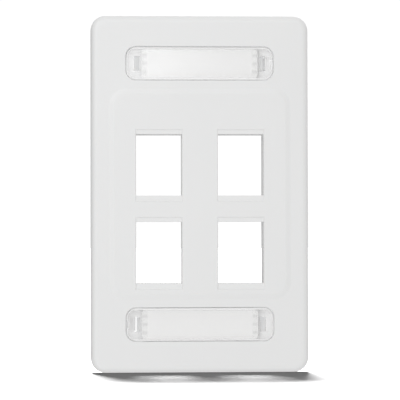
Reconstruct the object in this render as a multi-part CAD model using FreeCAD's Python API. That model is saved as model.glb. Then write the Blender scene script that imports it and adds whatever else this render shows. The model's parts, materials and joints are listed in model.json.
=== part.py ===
import FreeCAD, Part
import math
import os

# Four-port keystone faceplate for a single-gang wall box, with two label windows over its screws.
# Millimetres. +Z is up, +X is right as seen from the room, and -Y is the room side.
# The origin is the middle of the two screws, on the plane of the wall behind the rim.
# A depth is measured from the border's front face towards the wall.

V = FreeCAD.Vector

# Plate
PLATE_WIDTH = 69.85
PLATE_HEIGHT = 114.3
PLATE_DEPTH = 6.35
PLATE_CORNER_RADIUS = 4.8
FRONT_EDGE_RADIUS = 2.2
SIDE_DRAFT = 0.2  # how much each side leans in from the rim to the front
SKIN = 2.3
RIM_WALL = 2.0

# Raised middle panel
PANEL_SIDE_MARGIN = 5.95  # from the panel to the plate's side
PANEL_WINDOW_GAP = 2.55  # from the panel to a label window
PANEL_CORNER_RADIUS = 5.5
PANEL_RISE = 0.4
PANEL_SLOPE = 1.6  # width of the panel's sloping edge
PANEL_EDGE_RADIUS = 1.2  # where the slope meets the panel's face
PANEL_ROOT = 0.2  # how far the slope runs on inside the skin

# Box-mount screws
SCREW_SPACING = 83.34
THREAD_RADIUS = 1.75
SCREW_LENGTH = 19.05  # from the top of the cone to the tip
HEAD_RADIUS = 3.55
HEAD_HALF_ANGLE = 41.0
HEAD_LAND = 0.25  # straight rim above the cone
HEAD_DOME = 0.7
SLOT_WIDTH = 1.1
SLOT_DEPTH = 0.9
TIP_CHAMFER = 0.5
NECK_RELIEF = 0.37  # how far the plain neck under the head lies inside the thread
THREAD_BOSS_GAP = 0.1  # from the boss to the first turn of the thread

# Screw holes and bosses
SCREW_HOLE_CLEARANCE = 0.25
HEAD_CLEARANCE = 0.1
BOSS_RADIUS = 5.6
BOSS_BACK_GAP = 0.3  # from the boss to the wall

# Keystone ports
PORT_WIDTH = 14.6
PORT_HEIGHT = 19.6
PORT_COLUMN_SPACING = 26.1
PORT_ROW_SPACING = 28.0
PORT_ROW_MIDDLE = -4.75  # height of the middle of the four ports
BEZEL_ABOVE = 1.35
BEZEL_BELOW = 1.85
BEZEL_DEPTH = 0.3
PORT_EDGE_BREAK = 0.25
CATCH_DEPTH = 8.2  # from the panel's face to the front of the catch bars
CATCH_THICKNESS = 1.6
CATCH_BAR_HEIGHT = 2.6
CATCH_LEAD_IN = 0.7
HOUSING_WALL = 1.4
HOUSING_FOOT = 0.6  # width of the thickened root where a housing wall meets the skin

# Label windows, cut into the plate
WINDOW_WIDTH = 47.3
WINDOW_HEIGHT = 10.85
WINDOW_CORNER_RADIUS = 3.3
WINDOW_FLOOR = 1.6
WINDOW_WALL = 1.5
WINDOW_EDGE_BREAK = 0.2

# Clear cover in each window
COVER_SIDE_GAP = 0.15
COVER_SET_BACK = 0.3
COVER_FLOOR_GAP = 0.05
COVER_PANE = 1.3
COVER_BEVEL = 0.45
COVER_WALL = 0.5  # above and below the label's pocket
LABEL_SIDE_GAP = 0.05
POCKET_CORNER_RADIUS = 1.2
FINGER_COUNT = 3
FINGER_PITCH = 2.6
FINGER_WIDTH = 0.8
FINGER_REACH = 1.9
FINGER_THICKNESS = 0.5
CORE_SLOT_WIDTH = 1.7
CORE_SLOT_HEIGHT = 4.8
CORE_SLOT_FROM_LABEL = 0.6
PRY_NOTCH_WIDTH = 0.8
PRY_NOTCH_HEIGHT = 2.8
PRY_NOTCH_DEPTH = 1.7
PRY_NOTCH_FROM_LEG = 0.35

# Snap leg at the cover's free end
LEG_FROM_SLOT = 0.3
LEG_THICKNESS = 1.1
LEG_HEIGHT = 4.4
LEG_BELOW_FLOOR = 0.8  # how far the leg reaches behind the window's floor
HOOK_REACH = 0.8
HOOK_LEAD_IN = 0.5
LEG_GAP = 0.1

# Tab at the cover's held end
TAB_REACH = 0.55
TAB_THICKNESS = 0.8
TAB_HEIGHT = 3.0
TAB_GAP = 0.12

# Paper label under each cover
LABEL_THICKNESS = 0.2
LABEL_FINGER_GAP = 0.05
LABEL_HEAD_GAP = 0.45  # from the label to the screw's head

# Ribs and ejector marks on the back
RIB_THICKNESS = 1.2
RIB_BACK_GAP = 1.6  # from a rib to the wall
EJECTOR_RADIUS = 2.5
EJECTOR_DEPTH = 0.15
EJECTOR_FROM_RIM = 3.6

# Places worked out from the sizes above
HALF_WIDTH = PLATE_WIDTH / 2
HALF_HEIGHT = PLATE_HEIGHT / 2
COLUMN_X = PORT_COLUMN_SPACING / 2
ROW_Z = [PORT_ROW_MIDDLE + PORT_ROW_SPACING / 2, PORT_ROW_MIDDLE - PORT_ROW_SPACING / 2]
WINDOW_Z = SCREW_SPACING / 2
PANE_BACK = COVER_SET_BACK + COVER_PANE
LABEL_BACK = PANE_BACK + LABEL_THICKNESS
WINDOW_DEPTH = LABEL_BACK + LABEL_HEAD_GAP + HEAD_DOME + HEAD_LAND
WINDOW_BACK = WINDOW_DEPTH + WINDOW_FLOOR
PANEL_WIDTH = PLATE_WIDTH - 2 * PANEL_SIDE_MARGIN
PANEL_HEIGHT = SCREW_SPACING - WINDOW_HEIGHT - 2 * PANEL_WINDOW_GAP
HOUSING_BACK = CATCH_DEPTH + CATCH_THICKNESS - PANEL_RISE
BOSS_BACK = PLATE_DEPTH - BOSS_BACK_GAP
RIB_BACK = PLATE_DEPTH - RIB_BACK_GAP
HOUSING_HALF_WIDTH = PORT_WIDTH / 2 + HOUSING_WALL
HOUSING_TOP = PORT_HEIGHT / 2 + CATCH_BAR_HEIGHT
COVER_WIDTH = WINDOW_WIDTH - 2 * COVER_SIDE_GAP
COVER_HEIGHT = WINDOW_HEIGHT - 2 * COVER_SIDE_GAP
COVER_BACK = WINDOW_DEPTH - COVER_FLOOR_GAP
LEG_OUTER_X = COVER_WIDTH / 2 - PRY_NOTCH_WIDTH - PRY_NOTCH_FROM_LEG
LEG_X = LEG_OUTER_X - LEG_THICKNESS
CORE_SLOT_X = LEG_X - LEG_FROM_SLOT - CORE_SLOT_WIDTH
POCKET_HALF_LENGTH = CORE_SLOT_X - CORE_SLOT_FROM_LABEL
POCKET_HEIGHT = COVER_HEIGHT - 2 * COVER_WALL
LABEL_LENGTH = 2 * (POCKET_HALF_LENGTH - LABEL_SIDE_GAP)
LABEL_HEIGHT = POCKET_HEIGHT - 2 * LABEL_SIDE_GAP
LEG_TIP = WINDOW_BACK + LEG_BELOW_FLOOR
HOOK_X = LEG_X - HOOK_REACH
# a leg on a swinging cover drifts outwards by its length squared over twice its distance from the hinge
LEG_SWING = (LEG_TIP - COVER_SET_BACK) ** 2 / (2 * (COVER_WIDTH / 2 + LEG_OUTER_X))
TAB_BACK = COVER_BACK
TAB_FRONT = TAB_BACK - TAB_THICKNESS
OVERSHOOT = 1.0  # how far a cutting tool runs past the face it opens
LARGEST_ROUNDING = 0.98  # the largest corner radius, as a share of half the side


def at_depth(depth):
    """The Y of a point this far behind the border's front face."""
    return depth - PLATE_DEPTH


def rounded_outline(width, height, radius, depth, x=0.0, z=0.0):
    """A closed rounded rectangle in a plane of constant depth."""
    y = at_depth(depth)
    hw, hh = width / 2, height / 2
    r = min(radius, LARGEST_ROUNDING * hw, LARGEST_ROUNDING * hh)
    bend = r * (1 - math.cos(math.radians(45)))
    edges = []
    corners = [(1, 1), (-1, 1), (-1, -1), (1, -1)]
    for i, (sx, sz) in enumerate(corners):
        from_side = V(x + sx * hw, y, z + sz * (hh - r))
        from_top = V(x + sx * (hw - r), y, z + sz * hh)
        middle = V(x + sx * (hw - bend), y, z + sz * (hh - bend))
        start, end = (from_side, from_top) if sx == sz else (from_top, from_side)
        edges.append(Part.Arc(start, middle, end).toShape())
        nx, nz = corners[(i + 1) % 4]
        next_side = V(x + nx * hw, y, z + nz * (hh - r))
        next_top = V(x + nx * (hw - r), y, z + nz * hh)
        edges.append(Part.LineSegment(end, next_side if nx == nz else next_top).toShape())
    return Part.Wire(edges)


def square_outline(width, height, depth, x, z):
    """A closed rectangle with sharp corners in a plane of constant depth."""
    y = at_depth(depth)
    hw, hh = width / 2, height / 2
    corners = [(1, 1), (-1, 1), (-1, -1), (1, -1), (1, 1)]
    return Part.makePolygon([V(x + sx * hw, y, z + sz * hh) for sx, sz in corners])


def slab(width, height, radius, front, back, x=0.0, z=0.0):
    """A rounded block between two depths."""
    face = Part.Face(rounded_outline(width, height, radius, front, x, z))
    return face.extrude(V(0, back - front, 0))


def block(x0, x1, front, back, z0, z1):
    """A plain block between two depths."""
    return Part.makeBox(x1 - x0, back - front, z1 - z0, V(x0, at_depth(front), z0))


def lofted(wide, narrow):
    """A solid between two outlines."""
    return Part.makeLoft([wide, narrow], True, True)


def edges_at_depth(shape, depth):
    """The edges that lie wholly in a plane of constant depth."""
    y = at_depth(depth)
    tolerance = 1e-4
    return [
        e
        for e in shape.Edges
        if abs(e.BoundBox.YMin - y) < tolerance and abs(e.BoundBox.YMax - y) < tolerance
    ]


def cylinder(radius, front, back, x, z):
    """A round bar along Y between two depths."""
    return Part.makeCylinder(radius, back - front, V(x, at_depth(front), z), V(0, 1, 0))


def cone(front_radius, back_radius, front, back, x, z):
    """A cone along Y between two depths."""
    return Part.makeCone(
        front_radius, back_radius, back - front, V(x, at_depth(front), z), V(0, 1, 0)
    )


def joined(shapes):
    """One solid made of all these shapes."""
    return shapes[0].multiFuse(shapes[1:]).removeSplitter()


def half_turn(shape):
    """The shape turned half round about the Y axis, so that the upper end becomes the lower one."""
    turned = shape.copy()
    turned.rotate(V(0, 0, 0), V(0, 1, 0), 180)
    return turned


# Faceplate


def plate_shell():
    """The outer wall with its rounded front edge, and the hollow behind it."""
    rim = rounded_outline(PLATE_WIDTH, PLATE_HEIGHT, PLATE_CORNER_RADIUS, PLATE_DEPTH)
    front = rounded_outline(
        PLATE_WIDTH - 2 * SIDE_DRAFT,
        PLATE_HEIGHT - 2 * SIDE_DRAFT,
        PLATE_CORNER_RADIUS - SIDE_DRAFT,
        0.0,
    )
    outer = lofted(rim, front)
    outer = outer.makeFillet(FRONT_EDGE_RADIUS, edges_at_depth(outer, 0.0))
    hollow = slab(
        PLATE_WIDTH - 2 * RIM_WALL,
        PLATE_HEIGHT - 2 * RIM_WALL,
        PLATE_CORNER_RADIUS - RIM_WALL,
        SKIN,
        PLATE_DEPTH + OVERSHOOT,
    )
    return outer.cut(hollow)


def raised_panel():
    """The slightly raised field around the ports, with a sloping edge."""
    spread = PANEL_SLOPE * PANEL_ROOT / PANEL_RISE
    foot = rounded_outline(
        PANEL_WIDTH + 2 * spread,
        PANEL_HEIGHT + 2 * spread,
        PANEL_CORNER_RADIUS + spread,
        PANEL_ROOT,
    )
    face = rounded_outline(
        PANEL_WIDTH - 2 * PANEL_SLOPE,
        PANEL_HEIGHT - 2 * PANEL_SLOPE,
        PANEL_CORNER_RADIUS - PANEL_SLOPE,
        -PANEL_RISE,
    )
    panel = lofted(foot, face)
    return panel.makeFillet(PANEL_EDGE_RADIUS, edges_at_depth(panel, -PANEL_RISE))


def window_tub(z):
    """The walls and floor behind a label window, with its screw boss."""
    tub = slab(
        WINDOW_WIDTH + 2 * WINDOW_WALL,
        WINDOW_HEIGHT + 2 * WINDOW_WALL,
        WINDOW_CORNER_RADIUS + WINDOW_WALL,
        SKIN / 2,
        WINDOW_BACK,
        0,
        z,
    )
    boss = cylinder(BOSS_RADIUS, SKIN / 2, BOSS_BACK, 0, z)
    return [tub, boss]


def port_housing(x, z):
    """Two side walls behind a port, joined at the back by the two bars that a keystone jack catches on."""
    solids = []
    for side in (-1, 1):
        inner = x + side * PORT_WIDTH / 2
        outer = x + side * HOUSING_HALF_WIDTH
        foot = x + side * (HOUSING_HALF_WIDTH + HOUSING_FOOT)
        low, high = min(inner, outer), max(inner, outer)
        solids.append(block(low, high, SKIN / 2, HOUSING_BACK, z - HOUSING_TOP, z + HOUSING_TOP))
        root = Part.makePolygon(
            [
                V(outer, at_depth(SKIN / 2), z - HOUSING_TOP),
                V(foot, at_depth(SKIN / 2), z - HOUSING_TOP),
                V(foot, at_depth(SKIN), z - HOUSING_TOP),
                V(outer, at_depth(SKIN + HOUSING_FOOT), z - HOUSING_TOP),
                V(outer, at_depth(SKIN / 2), z - HOUSING_TOP),
            ]
        )
        solids.append(Part.Face(root).extrude(V(0, 0, 2 * HOUSING_TOP)))
    bar_front = HOUSING_BACK - CATCH_THICKNESS
    for end in (-1, 1):
        inner, outer = sorted([z + end * PORT_HEIGHT / 2, z + end * HOUSING_TOP])
        solids.append(
            block(x - HOUSING_HALF_WIDTH, x + HOUSING_HALF_WIDTH, bar_front, HOUSING_BACK, inner, outer)
        )
    return solids


def port_cut(x, z):
    """The way through a port, the shallow bezel on its face and the slope that leads a jack in from behind."""
    way = block(
        x - PORT_WIDTH / 2,
        x + PORT_WIDTH / 2,
        -PANEL_RISE - OVERSHOOT,
        HOUSING_BACK + OVERSHOOT,
        z - PORT_HEIGHT / 2,
        z + PORT_HEIGHT / 2,
    )
    bezel_height = PORT_HEIGHT + BEZEL_ABOVE + BEZEL_BELOW
    bezel_z = z + (BEZEL_ABOVE - BEZEL_BELOW) / 2
    face = -PANEL_RISE
    bezel = block(
        x - PORT_WIDTH / 2,
        x + PORT_WIDTH / 2,
        face - OVERSHOOT,
        face + BEZEL_DEPTH,
        bezel_z - bezel_height / 2,
        bezel_z + bezel_height / 2,
    )
    return [way, bezel, lead_in(x, z)]


def lead_in(x, z):
    """The slope on the back of both catch bars: the port's height grows towards the back."""
    half = PORT_HEIGHT / 2
    front = at_depth(HOUSING_BACK - CATCH_LEAD_IN)
    back = at_depth(HOUSING_BACK)
    outline = Part.makePolygon(
        [
            V(x - PORT_WIDTH / 2, front, z - half),
            V(x - PORT_WIDTH / 2, back, z - half - CATCH_LEAD_IN),
            V(x - PORT_WIDTH / 2, back, z + half + CATCH_LEAD_IN),
            V(x - PORT_WIDTH / 2, front, z + half),
            V(x - PORT_WIDTH / 2, front, z - half),
        ]
    )
    return Part.Face(outline).extrude(V(PORT_WIDTH, 0, 0))


def port_edge_break(x, z):
    """The broken edge round a port on the panel's face."""
    face = -PANEL_RISE
    bezel_height = PORT_HEIGHT + BEZEL_ABOVE + BEZEL_BELOW
    bezel_z = z + (BEZEL_ABOVE - BEZEL_BELOW) / 2
    wide_width = PORT_WIDTH + 2 * PORT_EDGE_BREAK
    wide_height = bezel_height + 2 * PORT_EDGE_BREAK
    wide = square_outline(wide_width, wide_height, face, x, bezel_z)
    narrow = square_outline(PORT_WIDTH, bezel_height, face + PORT_EDGE_BREAK, x, bezel_z)
    return lofted(wide, narrow)


def window_cut(z):
    """The sunk window with its broken edge."""
    sunk = slab(WINDOW_WIDTH, WINDOW_HEIGHT, WINDOW_CORNER_RADIUS, -OVERSHOOT, WINDOW_DEPTH, 0, z)
    wide = rounded_outline(
        WINDOW_WIDTH + 2 * WINDOW_EDGE_BREAK,
        WINDOW_HEIGHT + 2 * WINDOW_EDGE_BREAK,
        WINDOW_CORNER_RADIUS + WINDOW_EDGE_BREAK,
        0.0,
        0,
        z,
    )
    narrow = rounded_outline(
        WINDOW_WIDTH, WINDOW_HEIGHT, WINDOW_CORNER_RADIUS, WINDOW_EDGE_BREAK, 0, z
    )
    return [sunk, lofted(wide, narrow)]


def screw_hole_cut(z):
    """The countersunk screw hole in a window's floor."""
    head_radius = HEAD_RADIUS + HEAD_CLEARANCE
    hole_radius = THREAD_RADIUS + SCREW_HOLE_CLEARANCE
    sink = (head_radius - hole_radius) / math.tan(math.radians(HEAD_HALF_ANGLE))
    return [
        cone(head_radius, hole_radius, WINDOW_DEPTH, WINDOW_DEPTH + sink, 0, z),
        cylinder(hole_radius, WINDOW_DEPTH, BOSS_BACK + OVERSHOOT, 0, z),
    ]


def cover_seat_cuts():
    """The leg's slot and the tab's pocket in the upper window. The free end is at +X."""
    half_leg = LEG_HEIGHT / 2 + LEG_GAP
    leg_slot = block(
        HOOK_X - LEG_GAP,
        LEG_OUTER_X + LEG_GAP + LEG_SWING,
        WINDOW_DEPTH - COVER_FLOOR_GAP,
        WINDOW_BACK + OVERSHOOT,
        WINDOW_Z - half_leg,
        WINDOW_Z + half_leg,
    )
    half_tab = TAB_HEIGHT / 2 + TAB_GAP
    tab_pocket = block(
        -COVER_WIDTH / 2 - TAB_REACH - TAB_GAP,
        -WINDOW_WIDTH / 2 + TAB_THICKNESS,
        TAB_FRONT - TAB_GAP,
        WINDOW_BACK + OVERSHOOT,
        WINDOW_Z - half_tab,
        WINDOW_Z + half_tab,
    )
    return [leg_slot, tab_pocket]


def back_ribs():
    """Low ribs that join the housings, the tubs and the rim behind the skin."""
    ribs = []
    half = RIB_THICKNESS / 2
    front = SKIN / 2
    inner_rim_x = HALF_WIDTH - RIM_WALL / 2
    inner_rim_z = HALF_HEIGHT - RIM_WALL / 2
    housing_side = COLUMN_X + HOUSING_HALF_WIDTH - HOUSING_WALL / 2
    tub_side = WINDOW_WIDTH / 2 + WINDOW_WALL / 2
    tub_far = WINDOW_Z + WINDOW_HEIGHT / 2 + WINDOW_WALL / 2
    tub_near = WINDOW_Z - WINDOW_HEIGHT / 2 - WINDOW_WALL / 2
    for side in (-1, 1):
        for row in ROW_Z:
            x0, x1 = sorted([side * housing_side, side * inner_rim_x])
            ribs.append(block(x0, x1, front, RIB_BACK, row - half, row + half))
        for end in (-1, 1):
            x0, x1 = sorted([side * tub_side, side * inner_rim_x])
            tub_z = end * WINDOW_Z
            ribs.append(block(x0, x1, front, RIB_BACK, tub_z - half, tub_z + half))
            z0, z1 = sorted([end * tub_far, end * inner_rim_z])
            rib_x = side * COLUMN_X
            ribs.append(block(rib_x - half, rib_x + half, front, RIB_BACK, z0, z1))
        outer_wall = COLUMN_X + PORT_WIDTH / 2 + HOUSING_WALL / 2
        inner_wall = COLUMN_X - PORT_WIDTH / 2 - HOUSING_WALL / 2
        for wall_x in (side * outer_wall, side * inner_wall):
            top = ROW_Z[0] + HOUSING_TOP - HOUSING_WALL
            bottom = ROW_Z[1] - HOUSING_TOP + HOUSING_WALL
            ribs.append(block(wall_x - half, wall_x + half, front, RIB_BACK, top, tub_near))
            ribs.append(block(wall_x - half, wall_x + half, front, RIB_BACK, -tub_near, bottom))
    bridge = COLUMN_X - PORT_WIDTH / 2
    for row in ROW_Z:
        ribs.append(block(-bridge, bridge, front, RIB_BACK, row - half, row + half))
    return ribs


def ejector_marks():
    """Shallow round marks that the mould's ejector pins leave on the back of the skin."""
    x = HALF_WIDTH - RIM_WALL - EJECTOR_FROM_RIM
    far_z = HALF_HEIGHT - RIM_WALL - EJECTOR_FROM_RIM
    middle_z = sum(ROW_Z) / len(ROW_Z)
    marks = []
    for side in (-1, 1):
        for z in (far_z, middle_z, -far_z):
            marks.append(cylinder(EJECTOR_RADIUS, SKIN - EJECTOR_DEPTH, SKIN + RIM_WALL, side * x, z))
    return marks


def faceplate():
    """The whole moulded plate."""
    ports = [(side * COLUMN_X, z) for z in ROW_Z for side in (-1, 1)]
    solids = [plate_shell(), raised_panel()]
    for end in (-1, 1):
        solids += window_tub(end * WINDOW_Z)
    for x, z in ports:
        solids += port_housing(x, z)
    solids += back_ribs()
    body = joined(solids)
    cuts = []
    for x, z in ports:
        cuts += port_cut(x, z)
        cuts.append(port_edge_break(x, z))
    for end in (-1, 1):
        cuts += window_cut(end * WINDOW_Z)
        cuts += screw_hole_cut(end * WINDOW_Z)
    for cut in cover_seat_cuts():
        cuts += [cut, half_turn(cut)]
    cuts += ejector_marks()
    return body.cut(cuts).removeSplitter()


# Label cover and its label


def cover_body():
    """The clear block with its bevelled front edge, cut out behind for the label and the screw head."""
    outer = slab(
        COVER_WIDTH,
        COVER_HEIGHT,
        WINDOW_CORNER_RADIUS - COVER_SIDE_GAP,
        COVER_SET_BACK + COVER_BEVEL,
        COVER_BACK,
        0,
        WINDOW_Z,
    )
    radius = WINDOW_CORNER_RADIUS - COVER_SIDE_GAP
    wide = rounded_outline(
        COVER_WIDTH, COVER_HEIGHT, radius, COVER_SET_BACK + COVER_BEVEL, 0, WINDOW_Z
    )
    narrow = rounded_outline(
        COVER_WIDTH - 2 * COVER_BEVEL,
        COVER_HEIGHT - 2 * COVER_BEVEL,
        radius - COVER_BEVEL,
        COVER_SET_BACK,
        0,
        WINDOW_Z,
    )
    pocket = slab(
        2 * POCKET_HALF_LENGTH,
        POCKET_HEIGHT,
        POCKET_CORNER_RADIUS,
        PANE_BACK,
        COVER_BACK + OVERSHOOT,
        0,
        WINDOW_Z,
    )
    return joined([outer, lofted(wide, narrow)]).cut(pocket)


def label_fingers():
    """Small fingers at both ends of the pocket, which the label slides in front of."""
    front = LABEL_BACK + LABEL_FINGER_GAP
    fingers = []
    for side in (-1, 1):
        root = side * (POCKET_HALF_LENGTH + CORE_SLOT_FROM_LABEL / 2)
        tip = side * (POCKET_HALF_LENGTH - FINGER_REACH)
        x0, x1 = sorted([root, tip])
        for i in range(FINGER_COUNT):
            z = WINDOW_Z + (i - (FINGER_COUNT - 1) / 2) * FINGER_PITCH
            half = FINGER_WIDTH / 2
            fingers.append(block(x0, x1, front, front + FINGER_THICKNESS, z - half, z + half))
    return fingers


def snap_leg():
    """The springy leg at the free end, with its hook facing the middle."""
    half = LEG_HEIGHT / 2
    outline = Part.makePolygon(
        [
            V(LEG_X, at_depth(COVER_BACK - LEG_THICKNESS / 2), WINDOW_Z - half),
            V(LEG_OUTER_X, at_depth(COVER_BACK - LEG_THICKNESS / 2), WINDOW_Z - half),
            V(LEG_OUTER_X, at_depth(LEG_TIP), WINDOW_Z - half),
            V(LEG_X, at_depth(LEG_TIP), WINDOW_Z - half),
            V(HOOK_X, at_depth(LEG_TIP - HOOK_LEAD_IN), WINDOW_Z - half),
            V(LEG_X, at_depth(WINDOW_BACK + LEG_GAP), WINDOW_Z - half),
            V(LEG_X, at_depth(COVER_BACK - LEG_THICKNESS / 2), WINDOW_Z - half),
        ]
    )
    return Part.Face(outline).extrude(V(0, 0, LEG_HEIGHT))


def held_tab():
    """The tongue at the held end, which reaches under the window's end wall."""
    return block(
        -COVER_WIDTH / 2 - TAB_REACH,
        -COVER_WIDTH / 2 + TAB_THICKNESS,
        TAB_FRONT,
        TAB_BACK,
        WINDOW_Z - TAB_HEIGHT / 2,
        WINDOW_Z + TAB_HEIGHT / 2,
    )


def core_slots():
    """The slot through the cover at each end, in front of the hook."""
    half = CORE_SLOT_HEIGHT / 2
    slots = []
    for side in (-1, 1):
        x0, x1 = sorted([side * CORE_SLOT_X, side * (CORE_SLOT_X + CORE_SLOT_WIDTH)])
        slots.append(
            block(
                x0,
                x1,
                COVER_SET_BACK - OVERSHOOT,
                COVER_BACK + OVERSHOOT / 2,
                WINDOW_Z - half,
                WINDOW_Z + half,
            )
        )
    return slots


def pry_notch():
    """The notch in the free end that a small blade goes into."""
    half = PRY_NOTCH_HEIGHT / 2
    return block(
        COVER_WIDTH / 2 - PRY_NOTCH_WIDTH,
        COVER_WIDTH / 2 + OVERSHOOT,
        COVER_SET_BACK - OVERSHOOT,
        COVER_SET_BACK + PRY_NOTCH_DEPTH,
        WINDOW_Z - half,
        WINDOW_Z + half,
    )


def label_cover():
    """The clear cover of the upper window."""
    body = cover_body().cut(core_slots())
    body = joined([body, snap_leg(), held_tab()] + label_fingers())
    return body.cut(pry_notch()).removeSplitter()


def label_strip():
    """The paper label, against the back of the pane."""
    return slab(
        LABEL_LENGTH,
        LABEL_HEIGHT,
        POCKET_CORNER_RADIUS,
        PANE_BACK,
        LABEL_BACK,
        0,
        WINDOW_Z,
    )


# Screw


def mounting_screw(z):
    """An oval-head slotted machine screw with a plain neck, its thread drawn as a plain bar."""
    neck_radius = THREAD_RADIUS - NECK_RELIEF
    sink = (HEAD_RADIUS - neck_radius) / math.tan(math.radians(HEAD_HALF_ANGLE))
    top = WINDOW_DEPTH
    thread_start = BOSS_BACK + THREAD_BOSS_GAP
    neck = cylinder(neck_radius, top, thread_start + NECK_RELIEF, 0, z)
    run_out = cone(neck_radius, THREAD_RADIUS, thread_start - NECK_RELIEF, thread_start, 0, z)
    bar = cylinder(THREAD_RADIUS, thread_start, top + SCREW_LENGTH - TIP_CHAMFER, 0, z)
    tip = cone(
        THREAD_RADIUS,
        THREAD_RADIUS - TIP_CHAMFER,
        top + SCREW_LENGTH - TIP_CHAMFER,
        top + SCREW_LENGTH,
        0,
        z,
    )
    head = cone(HEAD_RADIUS, neck_radius, top, top + sink, 0, z)
    land = cylinder(HEAD_RADIUS, top - HEAD_LAND, top, 0, z)
    dome_radius = (HEAD_RADIUS**2 + HEAD_DOME**2) / (2 * HEAD_DOME)
    dome_top = top - HEAD_LAND - HEAD_DOME
    ball = Part.makeSphere(dome_radius, V(0, at_depth(dome_top + dome_radius), z))
    dome = ball.common(cylinder(HEAD_RADIUS, dome_top - OVERSHOOT, top - HEAD_LAND, 0, z))
    slot = block(
        -HEAD_RADIUS - OVERSHOOT,
        HEAD_RADIUS + OVERSHOOT,
        dome_top - OVERSHOOT,
        dome_top + SLOT_DEPTH,
        z - SLOT_WIDTH / 2,
        z + SLOT_WIDTH / 2,
    )
    return joined([bar, run_out, neck, tip, head, land, dome]).cut(slot)


def export(name, shape):
    """One solid to one file."""
    solid = shape.Solids[0] if len(shape.Solids) == 1 else shape
    solid.exportStep(f"parts/{name}.step")
    print(f"{name}: {len(shape.Solids)} solid, {len(shape.Faces)} faces, {shape.Volume:.1f} mm3")


os.makedirs("parts", exist_ok=True)
cover = label_cover()
label = label_strip()
export("faceplate", faceplate())
export("upper_label_cover", cover)
export("lower_label_cover", half_turn(cover))
export("upper_label_strip", label)
export("lower_label_strip", half_turn(label))
export("upper_mounting_screw", mounting_screw(WINDOW_Z))
export("lower_mounting_screw", mounting_screw(-WINDOW_Z))
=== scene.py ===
import json
import math

import bmesh
import bpy
from mathutils import Matrix, Vector


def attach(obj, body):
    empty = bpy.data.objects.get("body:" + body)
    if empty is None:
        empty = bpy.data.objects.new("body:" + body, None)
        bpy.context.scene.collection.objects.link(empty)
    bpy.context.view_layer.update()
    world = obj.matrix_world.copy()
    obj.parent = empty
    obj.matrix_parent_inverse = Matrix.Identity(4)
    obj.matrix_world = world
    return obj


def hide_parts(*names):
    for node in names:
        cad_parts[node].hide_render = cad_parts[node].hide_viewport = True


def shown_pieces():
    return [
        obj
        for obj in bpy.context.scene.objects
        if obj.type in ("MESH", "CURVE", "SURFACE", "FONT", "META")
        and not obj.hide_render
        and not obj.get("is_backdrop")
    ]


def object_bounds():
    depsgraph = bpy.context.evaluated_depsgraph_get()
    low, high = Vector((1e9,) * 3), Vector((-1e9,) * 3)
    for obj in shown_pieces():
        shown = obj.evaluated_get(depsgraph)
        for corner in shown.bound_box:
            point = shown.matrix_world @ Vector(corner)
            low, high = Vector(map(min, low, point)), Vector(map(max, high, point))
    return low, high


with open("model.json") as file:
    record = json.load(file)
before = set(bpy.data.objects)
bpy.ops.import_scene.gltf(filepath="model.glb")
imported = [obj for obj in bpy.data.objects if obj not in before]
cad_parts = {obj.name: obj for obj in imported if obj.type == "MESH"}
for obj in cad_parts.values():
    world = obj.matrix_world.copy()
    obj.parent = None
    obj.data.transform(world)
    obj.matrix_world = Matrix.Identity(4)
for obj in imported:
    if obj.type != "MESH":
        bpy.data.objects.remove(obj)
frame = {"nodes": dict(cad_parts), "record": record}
cad_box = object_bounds()
nodes = frame["nodes"]
bodies = frame["record"]["behaviour"]["bodies"]
body_of = {name: body for body, names in bodies.items() for name in names}

# Metres and degrees, unless a comment says otherwise. +Z is up, and -Y is the room side of the plate.
MM = 0.001

# Camera, at the photograph's viewing angle, with a lens and a sensor in millimetres
CAMERA_AZIMUTH = -2.73
CAMERA_ELEVATION = -1.1
CAMERA_ROLL = -0.12
CAMERA_DISTANCE = 0.6
CAMERA_AIM = Vector((0.3, 0.0, -1.87)) * MM
FOCAL_LENGTH = 167.5
SENSOR_WIDTH = 36.0
CLIP_START = 0.01
CLIP_END = 20.0

# The world's light, in front of the plate and behind it. WORLD_TURN is how far round to the front or
# the back it reaches its full strength, and WORLD_SEEN is what the camera sees.
WORLD_FRONT = 0.624
WORLD_BEHIND = 0.56
WORLD_TURN = 0.6
WORLD_SEEN = 1.05
# Extra light from a side: how much, and from how squarely to that side it begins
WORLD_EXTRA = {
    (-0.97, 0.24, 0): (-0.6, 0.7),
    (1, 0, 0): (0.1, 0.0),
    (0, 0, 1): (0.24, 0.0),
    (0, 0, -1): (0.25, 0.0),
}

# Soft lights on the plate: azimuth, elevation, distance, width, height and power in watts
KEY_LIGHT = (-20.2, 22.5, 0.75, 0.62, 0.5, 1.42)
KEY_COLOUR = (0.97, 0.985, 1.0)
BACK_LIGHT = (160, 25, 0.9, 0.7, 0.7, 1.0)
FILL_LIGHT = (-38, -32, 0.8, 0.6, 0.5, 0.75)

# Floor, with a sun of its own for the plate's shadow
FLOOR_GAP = 0.1 * MM
FLOOR_SIZE = 12.0
SUN_AZIMUTH = 187
SUN_ELEVATION = 70
SUN_ANGLE = 13
SUN_STRENGTH = 38.0

# The label windows, behind the plate's front
PLATE_DEPTH = 6.35 * MM
WINDOW_Z = 41.67 * MM
PANE_BACK = 1.6 * MM
LABEL_GAP = 0.02 * MM
LABEL_LENGTH = 37.2 * MM
LABEL_HEIGHT = 9.45 * MM
LABEL_CORNER = 1.15 * MM
LABEL_THICKNESS = 0.18 * MM
CORNER_STEPS = 6

# Where the clear cover turns milky, and how milky: behind the pane, on faces that lean away from the
# front, and by the distance from the window's middle along it or across it
MILKY_TRANSMISSION = 0.15
MILKY_BEHIND = (0.05 * MM, 0.1 * MM)
MILKY_LEAN = (0.95, 0.85)
MILKY_ENDS = (16.5 * MM, 21.5 * MM, 0.3)
MILKY_EDGES = (4.45 * MM, 4.8 * MM, 0.9)

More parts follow.
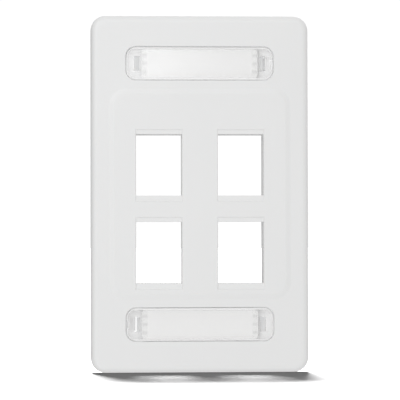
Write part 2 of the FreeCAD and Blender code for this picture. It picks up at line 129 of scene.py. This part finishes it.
# The cover's fingers, which hold the label from behind, and the shadow of each, painted onto the card. A
# painted shadow fades from its first reach to its second.
FINGER_MIDDLE = 17.65 * MM
FINGER_PITCH = 2.6 * MM
FINGER_HALF_LENGTH = (0.6 * MM, 1.0 * MM)
FINGER_HALF_WIDTH = (0.25 * MM, 0.75 * MM)
# The card's colour where a finger's painted shadow is darkest
FINGER_SHADE = (0.76, 0.757, 0.75)

# Finishes. A grain is a noise's size, its detail and, where that matters, its roughness and stretch.
# It moves a colour between two tones, or a roughness between two values.
# A bump is a grain, its height and its strength.
PLASTIC_MOTTLE = (24 * MM, 3)
PLASTIC_TONES = ((0.815, 0.815, 0.812), (0.835, 0.835, 0.83))
PLASTIC_SHEEN = (3 * MM, 4)
PLASTIC_ROUGHNESS = (0.33, 0.42)
PLASTIC_SKIN = ((0.35 * MM, 3), 0.004 * MM, 0.5)
PLASTIC_WAVES = ((9 * MM, 2), 0.02 * MM, 0.4)
PLASTIC_IOR = 1.53
PLASTIC_GLOW = 0.12
PLASTIC_GLOW_DEPTH = 0.9 * MM
PLASTIC_GLOW_TINT = (1.0, 0.95, 0.9)

CLEAR_IOR = 1.585
CLEAR_TINT = (0.993, 0.988, 0.983, 1)
CLEAR_SHADOW = (0.99, 0.992, 0.995, 1)
CLEAR_SHEEN = (4 * MM, 4)
CLEAR_ROUGHNESS = (0.1, 0.18)
CLEAR_WAVES = ((7 * MM, 2), 0.01 * MM, 0.3)

CARD_MOTTLE = (1.2 * MM, 5, 0.7)
CARD_TONES = ((0.873, 0.87, 0.862), (0.912, 0.908, 0.9))
CARD_FIBRES = ((0.35 * MM, 4, 0.65, (0.35, 1, 1)), 0.012 * MM, 0.6)
CARD_ROUGHNESS = (0.75, 0.9)

ZINC_MOTTLE = (1.5 * MM, 4)
ZINC_TONES = ((0.62, 0.62, 0.6), (0.74, 0.74, 0.73))
ZINC_SHEEN = (0.5 * MM, 3)
ZINC_ROUGHNESS = (0.24, 0.4)
ZINC_SKIN = ((0.25 * MM, 3), 0.006 * MM, 0.5)

FLOOR_MOTTLE = (0.3, 2)
FLOOR_TONES = ((0.145, 0.145, 0.145), (0.155, 0.155, 0.155))
FLOOR_ROUGHNESS = 0.9

# Screw, in millimetres behind the plate's front
HEAD_TOP = 2.25
HEAD_LAND = 0.25
SHOULDER = 3.2
SHOULDER_BACK = 5.696
THREAD_START = 6.15
SCREW_TIP = 22.25
HEAD_RADIUS = 3.55
NECK_RADIUS = 1.38
THREAD_RADIUS = 1.75
THREAD_PITCH = 0.794
TIP_CHAMFER = 0.5
SLOT_WIDTH = 1.1
SLOT_DEPTH = 0.9
SCREW_SIDES = 48
DOME_RINGS = 6
DOME_EYE = 0.02  # share of the head's radius that stays flat in the dome's middle
THREAD_PROFILE = ((0.06, 0), (0.44, 1), (0.56, 1), (0.94, 0))  # share of the pitch, share of the height
SAME_POINT = 0.002 * MM
SLIVER = 0.001 * MM
CREASE = 35


def link(obj):
    """Puts a new object into the scene."""
    bpy.context.scene.collection.objects.link(obj)
    return obj


class Graph:
    """A node tree, with a short way to add and join its nodes."""

    def __init__(self, owner):
        owner.use_nodes = True
        self.tree = owner.node_tree

    def add(self, kind, **settings):
        """A new node of a kind."""
        node = self.tree.nodes.new(kind)
        for key, value in settings.items():
            setattr(node, key, value)
        return node

    def feed(self, socket, value):
        """Gives a socket another node's output or a plain value."""
        if isinstance(value, bpy.types.NodeSocket):
            self.tree.links.new(value, socket)
        else:
            socket.default_value = value

    def math(self, operation, *values):
        """One sum of outputs or plain values."""
        node = self.add("ShaderNodeMath", operation=operation)
        for socket, value in zip(node.inputs, values):
            self.feed(socket, value)
        return node.outputs[0]

    def axes(self, vector):
        """A vector's X, Y and Z."""
        node = self.add("ShaderNodeSeparateXYZ")
        self.feed(node.inputs[0], vector)
        return node.outputs

    def span(self, value, start=0.0, end=1.0, low=0.0, high=1.0, shape="LINEAR"):
        """Low where the value is at the start, high at the end, and held past both."""
        node = self.add("ShaderNodeMapRange", interpolation_type=shape)
        self.feed(node.inputs["Value"], value)
        node.inputs["From Min"].default_value = start
        node.inputs["From Max"].default_value = end
        node.inputs["To Min"].default_value = low
        node.inputs["To Max"].default_value = high
        return node.outputs["Result"]


class Finish(Graph):
    """A material's nodes around its main shader."""

    def __init__(self, name):
        self.material = bpy.data.materials.new(name)
        super().__init__(self.material)
        self.shader = self.tree.nodes["Principled BSDF"]
        self.output = self.tree.nodes["Material Output"]
        where = self.add("ShaderNodeTexCoord")
        self.place = where.outputs["Object"]
        self.facing = where.outputs["Normal"]

    def set(self, **values):
        """Sets or joins the shader's sockets."""
        for key, value in values.items():
            self.feed(self.shader.inputs[key.replace("_", " ")], value)

    def noise(self, size, detail, roughness=0.5, stretch=(1, 1, 1)):
        """Noise whose features are about the given size."""
        mapping = self.add("ShaderNodeMapping")
        mapping.inputs["Scale"].default_value = [s / size for s in stretch]
        self.feed(mapping.inputs["Vector"], self.place)
        node = self.add("ShaderNodeTexNoise")
        node.inputs["Scale"].default_value = 1.0
        node.inputs["Detail"].default_value = detail
        node.inputs["Roughness"].default_value = roughness
        self.feed(node.inputs["Vector"], mapping.outputs["Vector"])
        return node.outputs["Fac"]

    def between(self, factor, first, second):
        """A colour between two others. Each is three numbers or another node's output."""
        node = self.add("ShaderNodeMix", data_type="RGBA")
        self.feed(node.inputs["Factor"], factor)
        for socket, colour in (("A", first), ("B", second)):
            plain = not isinstance(colour, bpy.types.NodeSocket)
            self.feed(node.inputs[socket], (*colour, 1) if plain else colour)
        return node.outputs["Result"]

    def ranging(self, noise, limits):
        """A value that noise moves between two limits."""
        low, high = limits
        return self.span(noise, low=low, high=high)

    def bump(self, noise, height, strength, onto=None):
        """A normal tipped by noise, laid over another bump if there is one."""
        node = self.add("ShaderNodeBump")
        node.inputs["Distance"].default_value = height
        node.inputs["Strength"].default_value = strength
        self.feed(node.inputs["Height"], noise)
        if onto is not None:
            self.feed(node.inputs["Normal"], onto)
        return node.outputs["Normal"]

    def from_window(self):
        """How far a point is from its window's middle, along the window and up or down."""
        spot = self.axes(self.place)
        along = self.math("ABSOLUTE", spot["X"])
        up = self.math("SUBTRACT", self.math("ABSOLUTE", spot["Z"]), WINDOW_Z)
        return along, up


def white_plastic():
    """Moulded white ABS with a soft sheen and a very fine skin."""
    f = Finish("white_plastic_moulded")
    grain, height, strength = PLASTIC_SKIN
    skin = f.bump(f.noise(*grain), height, strength)
    grain, height, strength = PLASTIC_WAVES
    f.set(
        Base_Color=f.between(f.noise(*PLASTIC_MOTTLE), *PLASTIC_TONES),
        Roughness=f.ranging(f.noise(*PLASTIC_SHEEN), PLASTIC_ROUGHNESS),
        Normal=f.bump(f.noise(*grain), height, strength, onto=skin),
        IOR=PLASTIC_IOR,
        Subsurface_Weight=PLASTIC_GLOW,
        Subsurface_Scale=PLASTIC_GLOW_DEPTH,
        Subsurface_Radius=PLASTIC_GLOW_TINT,
    )
    return f.material


def milky_share(f):
    """0 on the pane's polished faces, 1 on its bevels and on everything moulded behind it."""
    pane = PANE_BACK - PLATE_DEPTH
    start, end = MILKY_BEHIND
    behind = f.span(f.axes(f.place)["Y"], pane + start, pane + end)
    lean = f.math("ABSOLUTE", f.axes(f.facing)["Y"])
    side = f.span(lean, *MILKY_LEAN)
    along, up = f.from_window()
    start, end, most = MILKY_ENDS
    ends = f.span(along, start, end, high=most)
    start, end, most = MILKY_EDGES
    edges = f.span(f.math("ABSOLUTE", up), start, end, high=most)
    total = behind
    for other in (side, ends, edges):
        total = f.math("MAXIMUM", total, other)
    return total


def clear_plastic():
    """Clear polycarbonate, polished on the pane's faces and milky elsewhere.

    Light from the lamps passes straight through it.
    """
    f = Finish("clear_plastic_polished")
    grain, height, strength = CLEAR_WAVES
    f.set(
        Base_Color=CLEAR_TINT,
        IOR=CLEAR_IOR,
        Transmission_Weight=f.ranging(milky_share(f), (1.0, MILKY_TRANSMISSION)),
        Roughness=f.ranging(f.noise(*CLEAR_SHEEN), CLEAR_ROUGHNESS),
        Normal=f.bump(f.noise(*grain), height, strength),
    )
    path = f.add("ShaderNodeLightPath").outputs
    through = f.add("ShaderNodeBsdfTransparent")
    through.inputs["Color"].default_value = CLEAR_SHADOW
    mix = f.add("ShaderNodeMixShader")
    f.feed(mix.inputs["Fac"], f.math("MAXIMUM", path["Is Shadow Ray"], path["Is Diffuse Ray"]))
    f.feed(mix.inputs[1], f.shader.outputs[0])
    f.feed(mix.inputs[2], through.outputs[0])
    f.feed(f.output.inputs["Surface"], mix.outputs[0])
    return f.material


def finger_shadows(f):
    """1 where a finger of the cover sits behind the card, else 0: where the fingers' shadow is painted.
    """
    along, up = f.from_window()
    full, gone = FINGER_HALF_LENGTH
    length = f.span(f.math("ABSOLUTE", f.math("SUBTRACT", along, FINGER_MIDDLE)), gone, full)
    full, gone = FINGER_HALF_WIDTH
    width = f.span(f.math("PINGPONG", up, FINGER_PITCH / 2), gone, full)
    return f.math("MULTIPLY", length, width)


def label_paper():
    """Uncoated white card, faintly mottled, with short fibres. The fingers behind it are painted on as
    faint shade.
    """
    f = Finish("label_paper_card")
    card = f.between(f.noise(*CARD_MOTTLE), *CARD_TONES)
    grain, height, strength = CARD_FIBRES
    fibres = f.noise(*grain)
    # The fingers' shadow is painted into the card's colour
    f.set(
        Base_Color=f.between(finger_shadows(f), card, FINGER_SHADE),
        Roughness=f.ranging(fibres, CARD_ROUGHNESS),
        Normal=f.bump(fibres, height, strength),
    )
    return f.material


def screw_steel():
    """Zinc-plated steel, a little uneven."""
    f = Finish("screw_steel_zinc")
    grain, height, strength = ZINC_SKIN
    f.set(
        Base_Color=f.between(f.noise(*ZINC_MOTTLE), *ZINC_TONES),
        Roughness=f.ranging(f.noise(*ZINC_SHEEN), ZINC_ROUGHNESS),
        Normal=f.bump(f.noise(*grain), height, strength),
        Metallic=1.0,
    )
    return f.material


def floor_paper():
    """The pale floor under the plate."""
    f = Finish("floor_pale")
    f.set(Base_Color=f.between(f.noise(*FLOOR_MOTTLE), *FLOOR_TONES), Roughness=FLOOR_ROUGHNESS)
    return f.material


def dress(node, material):
    """Gives a CAD node a better finish."""
    for slot in nodes[node].material_slots:
        slot.material = material


def dress_nodes():
    """The plate and its covers keep their CAD shape."""
    clear = clear_plastic()
    dress("faceplate", white_plastic())
    for end in ("upper", "lower"):
        dress(f"{end}_label_cover", clear)


def piece(name, mesh, material, node):
    """A piece that rides with a CAD node and stands for it."""
    mesh.materials.clear()
    mesh.materials.append(material)
    obj = link(bpy.data.objects.new(name, mesh))
    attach(obj, body_of[node])
    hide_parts(node)


def into_mesh(bm, name):
    """The finished mesh, with every face looking outwards."""
    bmesh.ops.recalc_face_normals(bm, faces=bm.faces)
    mesh = bpy.data.meshes.new(name)
    bm.to_mesh(mesh)
    bm.free()
    return mesh


def rounded_card(width, height, corner, front, back):
    """A flat card with rounded corners, between two depths, about the window's middle."""
    outline = []
    for quarter, (sx, sz) in enumerate(((1, 1), (-1, 1), (-1, -1), (1, -1))):
        middle = Vector((sx * (width / 2 - corner), front - PLATE_DEPTH, sz * (height / 2 - corner)))
        for step in range(CORNER_STEPS + 1):
            angle = math.pi / 2 * (quarter + step / CORNER_STEPS)
            outline.append(middle + corner * Vector((math.cos(angle), 0, math.sin(angle))))
    bm = bmesh.new()
    face = bm.faces.new([bm.verts.new(spot) for spot in outline])
    grown = bmesh.ops.extrude_face_region(bm, geom=[face])["geom"]
    for v in (g for g in grown if isinstance(g, bmesh.types.BMVert)):
        v.co.y = back - PLATE_DEPTH
    return into_mesh(bm, "card")


def make_labels():
    """A blank paper label behind each clear cover."""
    paper = label_paper()
    front = PANE_BACK + LABEL_GAP
    for end, side in (("upper", 1), ("lower", -1)):
        card = rounded_card(LABEL_LENGTH, LABEL_HEIGHT, LABEL_CORNER, front, front + LABEL_THICKNESS)
        card.transform(Matrix.Translation((0, 0, side * WINDOW_Z)))
        piece(f"{end}_paper_label", card, paper, f"{end}_label_strip")


def screw_rings():
    """The screw's half profile from the dome to the neck, as (depth, radius)."""
    dome = SHOULDER - HEAD_LAND - HEAD_TOP
    ball = (HEAD_RADIUS**2 + dome**2) / (2 * dome)
    rings = []
    for i in range(DOME_RINGS + 1):
        radius = HEAD_RADIUS * max(i / DOME_RINGS, DOME_EYE)
        rings.append((HEAD_TOP + ball - math.sqrt(ball**2 - radius**2), radius))
    return rings + [(SHOULDER, HEAD_RADIUS), (SHOULDER_BACK, NECK_RADIUS)]


def thread_limit(depth):
    """The largest radius at a depth: the thread fades in at the neck and out at the tip."""
    at_neck = NECK_RADIUS + depth - THREAD_START
    at_tip = THREAD_RADIUS + SCREW_TIP - TIP_CHAMFER - depth
    return min(THREAD_RADIUS, at_neck, at_tip)


def thread_points():
    """Rows of (depth, radius) points. Each row follows the helix once around."""
    rows = []
    turns = math.ceil((SCREW_TIP - THREAD_START) / THREAD_PITCH) + 1
    for turn in range(-1, turns):
        for phase, crest in THREAD_PROFILE:
            row = []
            for side in range(SCREW_SIDES):
                depth = THREAD_START + THREAD_PITCH * (turn + phase + side / SCREW_SIDES)
                depth = min(max(depth, THREAD_START), SCREW_TIP)
                radius = NECK_RADIUS + crest * (THREAD_RADIUS - NECK_RADIUS)
                row.append((depth, min(radius, thread_limit(depth))))
            rows.append(row)
    return rows


def around(bm, row):
    """One vertex for each (depth, radius) of a row, spread around the screw's axis."""
    loop = []
    for side, (depth, radius) in enumerate(row):
        angle = 2 * math.pi * side / SCREW_SIDES
        spot = Vector((radius * math.sin(angle), depth, radius * math.cos(angle)))
        loop.append(bm.verts.new(spot * MM - Vector((0, PLATE_DEPTH, 0))))
    return loop


def screw_blank():
    """The screw before its slot is cut: head, neck and thread as one closed skin."""
    bm = bmesh.new()
    head = [around(bm, [ring] * SCREW_SIDES) for ring in screw_rings()]
    thread = [around(bm, row) for row in thread_points()]
    last = SCREW_SIDES - 1
    turn = len(THREAD_PROFILE)
    bm.faces.new(head[0])
    for a, b in zip(head, head[1:] + thread[:1]):
        for side in range(SCREW_SIDES):
            follow = (side + 1) % SCREW_SIDES
            bm.faces.new((a[side], b[side], b[follow], a[follow]))
    for a, b in zip(thread, thread[1:]):
        for side in range(last):
            bm.faces.new((a[side], b[side], b[side + 1], a[side + 1]))
    # Each row's end meets the start of the row one turn on
    for a, b, c, d in zip(thread, thread[1:], thread[turn + 1 :], thread[turn:]):
        bm.faces.new((a[last], b[last], c[0], d[0]))
    bm.faces.new(thread[-1])
    bmesh.ops.remove_doubles(bm, verts=bm.verts, dist=SAME_POINT)
    bmesh.ops.dissolve_degenerate(bm, edges=bm.edges, dist=SLIVER)
    return into_mesh(bm, "screw_blank")


def slotted(blank):
    """The screw with its slot cut across the head, by a bar that is longer than the head is wide."""
    screw = link(bpy.data.objects.new("screw_blank", blank))
    bpy.ops.mesh.primitive_cube_add(size=1)
    cutter = bpy.context.object
    slot_floor = (HEAD_TOP + SLOT_DEPTH) * MM - PLATE_DEPTH
    cutter.scale = (3 * HEAD_RADIUS * MM, 2 * SLOT_DEPTH * MM, SLOT_WIDTH * MM)
    cutter.location = (0, slot_floor - SLOT_DEPTH * MM, 0)
    cut = screw.modifiers.new("slot", "BOOLEAN")
    cut.operation = "DIFFERENCE"
    cut.solver = "EXACT"
    cut.object = cutter
    mesh = bpy.data.meshes.new_from_object(screw.evaluated_get(bpy.context.evaluated_depsgraph_get()))
    bpy.data.objects.remove(screw)
    bpy.data.objects.remove(cutter)
    mesh.name = "slotted_screw"
    return mesh


def make_screws():
    """A box screw behind each label, smooth but for its sharp edges."""
    steel = screw_steel()
    shape = slotted(screw_blank())
    shape.shade_smooth()
    shape.set_sharp_from_angle(angle=math.radians(CREASE))
    for end, side in (("upper", 1), ("lower", -1)):
        mesh = shape.copy()
        mesh.transform(Matrix.Translation((0, 0, side * WINDOW_Z)))
        piece(f"{end}_threaded_screw", mesh, steel, f"{end}_mounting_screw")


def towards(azimuth, elevation):
    """The direction from the plate towards a point at these angles."""
    a, e = math.radians(azimuth), math.radians(elevation)
    return Vector((math.sin(a) * math.cos(e), -math.cos(a) * math.cos(e), math.sin(e)))


def turn_to(obj, rotation):
    """Turns an object by a quaternion."""
    obj.rotation_mode = "QUATERNION"
    obj.rotation_quaternion = rotation


def make_camera():
    """The photograph's camera."""
    data = bpy.data.cameras.new("camera")
    data.lens = FOCAL_LENGTH
    data.sensor_width = SENSOR_WIDTH
    data.clip_start = CLIP_START
    data.clip_end = CLIP_END
    camera = link(bpy.data.objects.new("camera", data))
    back = towards(CAMERA_AZIMUTH, CAMERA_ELEVATION)
    camera.location = CAMERA_AIM + back * CAMERA_DISTANCE
    look = (-back).to_track_quat("-Z", "Y").to_matrix().to_4x4()
    roll = Matrix.Rotation(math.radians(CAMERA_ROLL), 4, "Z")
    turn_to(camera, (look @ roll).to_quaternion())
    bpy.context.scene.camera = camera


def side_light(g, way, side, extra, start):
    """Extra light from one side, fading to none away from it."""
    node = g.add("ShaderNodeVectorMath", operation="DOT_PRODUCT")
    g.feed(node.inputs[0], way)
    node.inputs[1].default_value = side
    return g.span(node.outputs["Value"], start, high=extra, shape="SMOOTHSTEP")


def make_world():
    """White where the camera looks past the plate. As light it is full in front, dimmer behind."""
    world = bpy.data.worlds.new("studio")
    bpy.context.scene.world = world
    g = Graph(world)
    way = g.add("ShaderNodeTexCoord").outputs["Generated"]
    depth = g.axes(way)["Y"]
    total = g.span(depth, WORLD_TURN, -WORLD_TURN, WORLD_BEHIND, WORLD_FRONT, shape="SMOOTHSTEP")
    for side, (extra, start) in WORLD_EXTRA.items():
        total = g.math("ADD", total, side_light(g, way, side, extra, start))
    seen = g.add("ShaderNodeMix")
    g.feed(seen.inputs["Factor"], g.add("ShaderNodeLightPath").outputs["Is Camera Ray"])
    g.feed(seen.inputs["A"], total)
    g.feed(seen.inputs["B"], WORLD_SEEN)
    background = g.tree.nodes["Background"]
    background.inputs["Color"].default_value = (1, 1, 1, 1)
    g.feed(background.inputs["Strength"], seen.outputs["Result"])


def reach_only(light, objects):
    """The light reaches only these objects."""
    group = bpy.data.collections.new(light.name + "_reaches")
    for obj in objects:
        group.objects.link(obj)
    light.light_linking.receiver_collection = group


def soft_light(name, azimuth, elevation, distance, width, height, power):
    """A soft rectangular light that faces the plate's middle and reaches the object alone."""
    data = bpy.data.lights.new(name, "AREA")
    data.shape = "RECTANGLE"
    data.size = width
    data.size_y = height
    data.energy = power
    light = link(bpy.data.objects.new(name, data))
    way = towards(azimuth, elevation)
    light.location = way * distance
    light.visible_camera = False
    turn_to(light, way.to_track_quat("Z", "Y"))
    reach_only(light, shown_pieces())
    return light


def make_lights():
    """The fill light shines up through the floor, which is no obstacle to it."""
    key = soft_light("key_light", *KEY_LIGHT)
    key.data.color = KEY_COLOUR
    soft_light("back_light", *BACK_LIGHT)
    fill = soft_light("fill_light", *FILL_LIGHT)
    fill.light_linking.blocker_collection = fill.light_linking.receiver_collection


def make_floor():
    """A pale floor for the camera alone: it neither lights the plate nor shows in its gloss."""
    bpy.ops.mesh.primitive_plane_add(size=FLOOR_SIZE, location=(0, 0, cad_box[0].z - FLOOR_GAP))
    floor = bpy.context.object
    floor.name = "floor"
    floor.data.materials.append(floor_paper())
    floor.visible_diffuse = False
    floor.visible_glossy = False
    floor.visible_transmission = False
    floor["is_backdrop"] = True
    data = bpy.data.lights.new("floor_light", "SUN")
    data.energy = SUN_STRENGTH
    data.angle = math.radians(SUN_ANGLE)
    sun = link(bpy.data.objects.new("floor_light", data))
    turn_to(sun, towards(SUN_AZIMUTH, SUN_ELEVATION).to_track_quat("Z", "Y"))
    reach_only(sun, [floor])


make_camera()
make_world()
dress_nodes()
make_labels()
make_screws()
make_floor()
make_lights()
bpy.context.scene.view_settings.view_transform = "Standard"
